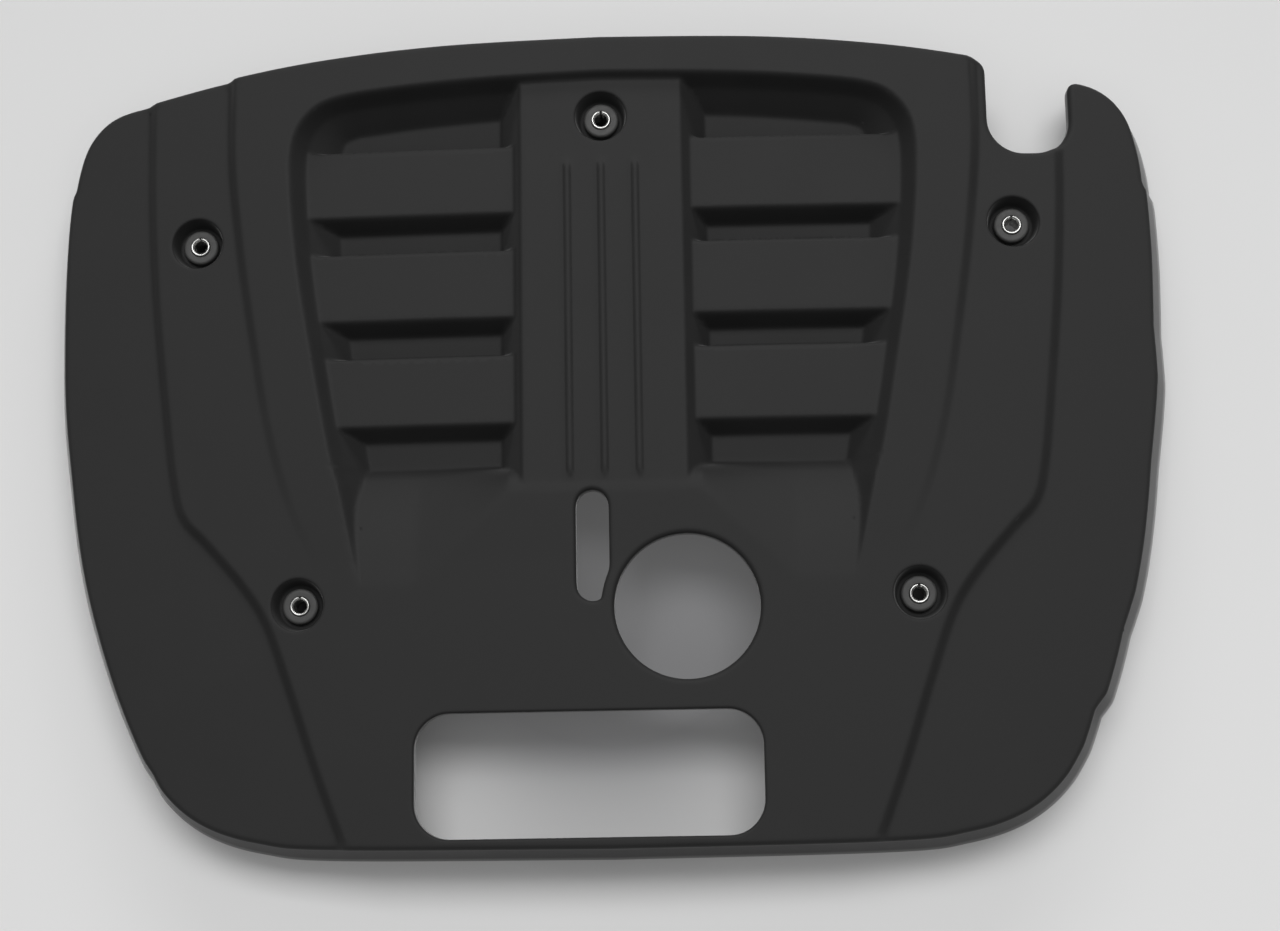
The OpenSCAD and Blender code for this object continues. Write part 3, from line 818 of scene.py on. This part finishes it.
def buildSleeve(name, at, low):
    # a strip rolled into a tube, open along a narrow split towards the rear edge
    s = sleeveSize
    e, bore, radius = s["edge"], s["bore"], s["radius"]
    h = pocketSize["wall"] + 2 * grommetSize["headHeight"] + 2 * s["proud"]
    section = np.array([(bore, e), (bore + e, 0), (radius - e, 0), (radius, e), (radius, h - e),
                        (radius - e, h), (radius - s["land"], h), (bore, h - s["leadIn"])])
    half = s["split"] / 2 / ((bore + radius) / 2)     # half the split as an angle
    a = np.linspace(np.pi / 2 + half, np.pi * 5 / 2 - half, 61)
    rows = [np.column_stack([at[0] + section[:, 0] * math.cos(t), at[1] + section[:, 0] * math.sin(t),
                             low + section[:, 1]]) for t in a]
    shell = newShell()
    addBar(shell, rows)
    return buildShell(shell, "steel_" + name, "sleeve_" + name)


rubberPieces, steelPieces = [], []
for pocketName, pocketXy in pocketAt.items():
    lowest = pocketLevel(pocketXy) - pocketSize["depth"] - pocketSize["wall"] - grommetSize["headHeight"]
    rubberPieces.append(buildGrommet(pocketName, pocketXy, lowest))
    steelPieces.append(buildSleeve(pocketName, pocketXy, lowest - sleeveSize["proud"]))


# Materials

def linear(hexColour):
    # sRGB hex to the linear values that the shader takes
    value = [int(hexColour[i:i + 2], 16) / 255 for i in (1, 3, 5)]
    return [c / 12.92 if c <= 0.04045 else ((c + 0.055) / 1.055)**2.4 for c in value] + [1.0]


def addNode(tree, kind, settings=(), values=(), links=()):
    # one node with its settings, the values of its sockets and its links
    node = tree.nodes.new(kind)
    for name, value in dict(settings).items():
        setattr(node, name, value)
    for name, value in dict(values).items():
        node.inputs[name].default_value = value
    for name, source in dict(links).items():
        tree.links.new(source, node.inputs[name])
    return node


def newMaterial(name):
    # a material with its node tree and its surface shader
    material = bpy.data.materials.new(name)
    material.use_nodes = True
    tree = material.node_tree
    return material, tree, tree.nodes["Principled BSDF"]


firstColour, secondColour, mixedColour = 6, 7, 2     # sockets of a mix of colours
noiseRange = {"From Min": 0.3, "From Max": 0.7}      # where nearly all of a noise's values lie

# polypropylene moulded in a spark-eroded tool: the eye takes it for black, dry and matt, with a soft sheen
# where it turns away and a fine even grain, which is drawn at 0.5 mm, as coarse as it needs to show
plasticLook = {
    "dark": "#242424", "light": "#2b2b2b", "cloud": 45.0, "cloudRoughness": 0.6,
    "grain": 0.5, "grainDepth": 0.04, "grainStrength": 0.35, "roughness": (0.58, 0.66),
    "sockets": {"Specular IOR Level": 0.14, "Sheen Weight": 0.32, "Sheen Roughness": 0.28},
}
# moulded rubber: grey-black and soft, with a pale bloom in patches
rubberLook = {
    "dark": "#2a2a2a", "light": "#474746", "cloud": 3.0, "cloudRoughness": 0.65,
    "grain": 0.4, "grainDepth": 0.03, "grainStrength": 0.3, "roughness": (0.52, 0.72), "sockets": {},
}
# rolled steel with a zinc plating: bright, a little cloudy and scuffed
steelLook = {
    "dark": "#a8a8a6", "light": "#d6d6d4", "cloud": 1.6, "cloudRoughness": 0.6,
    "grain": 0.25, "grainDepth": 0.01, "grainStrength": 0.2, "roughness": (0.22, 0.42),
    "sockets": {"Metallic": 1.0},
}


def cloudedFinish(name, look):
    # a slow noise moves the colour and the roughness, and a fine one gives the grain, both in millimetres
    material, tree, shader = newMaterial(name)
    place = addNode(tree, "ShaderNodeTexCoord").outputs["Object"]
    cloud = addNode(tree, "ShaderNodeTexNoise",
                    values={"Scale": 1 / (look["cloud"] * mm), "Detail": 4.0,
                            "Roughness": look["cloudRoughness"]},
                    links={"Vector": place}).outputs["Fac"]
    grain = addNode(tree, "ShaderNodeTexNoise",
                    values={"Scale": 1 / (look["grain"] * mm), "Detail": 3.0, "Roughness": 0.55},
                    links={"Vector": place}).outputs["Fac"]
    colour = addNode(tree, "ShaderNodeMix", {"data_type": "RGBA"},
                     {firstColour: linear(look["dark"]), secondColour: linear(look["light"])},
                     {"Factor": cloud})
    low, high = look["roughness"]
    rough = addNode(tree, "ShaderNodeMapRange", values={**noiseRange, "To Min": low, "To Max": high},
                    links={"Value": cloud})
    bump = addNode(tree, "ShaderNodeBump",
                   values={"Strength": look["grainStrength"], "Distance": look["grainDepth"] * mm},
                   links={"Height": grain})
    tree.links.new(colour.outputs[mixedColour], shader.inputs["Base Color"])
    tree.links.new(rough.outputs["Result"], shader.inputs["Roughness"])
    tree.links.new(bump.outputs["Normal"], shader.inputs["Normal"])
    for socket, value in look["sockets"].items():
        shader.inputs[socket].default_value = value
    return material


for pieces, material in (([cover], cloudedFinish("texturedPolypropylene", plasticLook)),
                         (rubberPieces, cloudedFinish("mouldedRubber", rubberLook)),
                         (steelPieces, cloudedFinish("zincPlatedSteel", steelLook))):
    for piece in pieces:
        piece.data.materials.append(material)
print("materials set")


# Stage, light and camera

# lengths of the stage and the lamps are in metres, the table's slow noise in millimetres
stageLook = {
    # painted shade: the table's colour is darker towards the rear and paler in front
    "rear": "#c9c9c9", "front": "#e2e2e2", "between": (-0.45, 0.45), "size": 3.0,     # paler in front
    "roughness": (0.65, 0.75), "cloud": 200.0,
    # painted shade: a grey patch under the middle of the cover, with its centre and soft edge, and a painted
    # glow on it
    "paintedShade": "#646466", "paintedShadeAt": (0.0, -0.07, 0.0), "paintedShadeEdge": (0.09, 0.16), "paintedGlowLift": 0.08,
}
lightLook = {
    "room": "#ffffff", "roomStrength": 0.2,
    "window": {"at": (0.25, 1.65, 3.7), "size": (3.6, 1.5), "power": 105},
    "ceiling": {"at": (-0.1, -0.4, 4.2), "size": (7.0, 5.0), "power": 55},
    "skylight": {"at": (0.3, 4.0, 1.8), "size": (4.0, 1.0), "power": 70},
}


def buildStage():
    # a wide table whose colour holds painted shade: it darkens evenly from the front to the rear
    look = stageLook
    s = look["size"]
    mesh = bpy.data.meshes.new("floor")
    mesh.from_pydata([(-s, -s, 0), (s, -s, 0), (s, s, 0), (-s, s, 0)], [], [(0, 1, 2, 3)])
    floor = bpy.data.objects.new("floor", mesh)
    bpy.context.scene.collection.objects.link(floor)
    material, tree, shader = newMaterial("tableWithPaintedShade")
    place = addNode(tree, "ShaderNodeTexCoord").outputs["Object"]

    # painted shade: the colour runs along Y from the pale front to the darker rear
    along = addNode(tree, "ShaderNodeSeparateXYZ", links={"Vector": place}).outputs["Y"]
    low, high = look["between"]
    share = addNode(tree, "ShaderNodeMapRange", values={"From Min": low, "From Max": high},
                    links={"Value": along})
    paint = addNode(tree, "ShaderNodeMix", {"data_type": "RGBA"},
                    {firstColour: linear(look["front"]), secondColour: linear(look["rear"])},
                    {"Factor": share.outputs["Result"]})

    # painted shade: a soft grey patch on the table under the middle of the cover, seen through its openings
    offset = addNode(tree, "ShaderNodeVectorMath", {"operation": "SUBTRACT"}, {1: look["paintedShadeAt"]},
                     {0: place})
    away = addNode(tree, "ShaderNodeVectorMath", {"operation": "LENGTH"}, links={0: offset.outputs["Vector"]})
    near, far = look["paintedShadeEdge"]
    edge = {"From Min": near, "From Max": far}
    outside = addNode(tree, "ShaderNodeMapRange", values=edge, links={"Value": away.outputs["Value"]})
    paintedShade = addNode(tree, "ShaderNodeMix", {"data_type": "RGBA"}, {firstColour: linear(look["paintedShade"])},
                    {"Factor": outside.outputs["Result"], secondColour: paint.outputs[mixedColour]})
    tree.links.new(paintedShade.outputs[mixedColour], shader.inputs["Base Color"])

    # painted light: the patch glows a little for camera rays only, in place of light that comes in under the
    # cover's edge
    lift = addNode(tree, "ShaderNodeMapRange", values={**edge, "To Min": look["paintedGlowLift"], "To Max": 0.0},
                   links={"Value": away.outputs["Value"]})
    seen = addNode(tree, "ShaderNodeLightPath").outputs["Is Camera Ray"]
    glow = addNode(tree, "ShaderNodeMath", {"operation": "MULTIPLY"},
                   links={0: seen, 1: lift.outputs["Result"]})
    shader.inputs["Emission Color"].default_value = linear("#ffffff")
    tree.links.new(glow.outputs["Value"], shader.inputs["Emission Strength"])

    cloud = addNode(tree, "ShaderNodeTexNoise",
                    values={"Scale": 1 / (look["cloud"] * mm), "Detail": 2.0, "Roughness": 0.55},
                    links={"Vector": place}).outputs["Fac"]
    low, high = look["roughness"]
    rough = addNode(tree, "ShaderNodeMapRange", values={**noiseRange, "To Min": low, "To Max": high},
                    links={"Value": cloud})
    tree.links.new(rough.outputs["Result"], shader.inputs["Roughness"])
    mesh.materials.append(material)


def addLamp(name, look):
    # a rectangular lamp that faces the origin
    data = bpy.data.lights.new(name, "AREA")
    data.shape = "RECTANGLE"
    data.size, data.size_y = look["size"]
    data.energy = look["power"]
    lamp = bpy.data.objects.new(name, data)
    lamp.location = look["at"]
    lamp.rotation_euler = (-Vector(look["at"])).to_track_quat("-Z", "Y").to_euler()
    bpy.context.scene.collection.objects.link(lamp)


cameraView = {
    "at": (58.0, -202.3, 1085.3),     # mm, from the matched pairs of features
    "pitch": 10.0, "yaw": 2.20, "roll": -0.96,
    "focalPixels": 2050.8, "imageWidth": 1280.0, "sensor": 36.0,
}


def buildCamera():
    # lens = focal length in pixels times the sensor's width over the picture's; yaw, then pitch, then roll
    v = cameraView
    data = bpy.data.cameras.new("camera")
    data.sensor_width = v["sensor"]
    data.lens = v["focalPixels"] * v["sensor"] / v["imageWidth"]
    camera = bpy.data.objects.new("camera", data)
    yaw, pitch, roll = [Matrix.Rotation(math.radians(v[key]), 4, axis)
                        for key, axis in (("yaw", "Y"), ("pitch", "X"), ("roll", "Z"))]
    camera.matrix_world = Matrix.Translation(Vector(v["at"]) * mm) @ (yaw @ pitch @ roll)
    bpy.context.scene.collection.objects.link(camera)
    bpy.context.scene.camera = camera


def buildLight():
    # an even room with three lamps
    world = bpy.data.worlds.new("softRoom")
    bpy.context.scene.world = world
    world.use_nodes = True
    background = world.node_tree.nodes["Background"]
    background.inputs["Color"].default_value = linear(lightLook["room"])
    background.inputs["Strength"].default_value = lightLook["roomStrength"]
    for name in ("window", "ceiling", "skylight"):
        addLamp(name, lightLook[name])


buildStage()
buildLight()
buildCamera()
bpy.context.scene.view_settings.view_transform = "Standard"
print("stage, light and camera set")
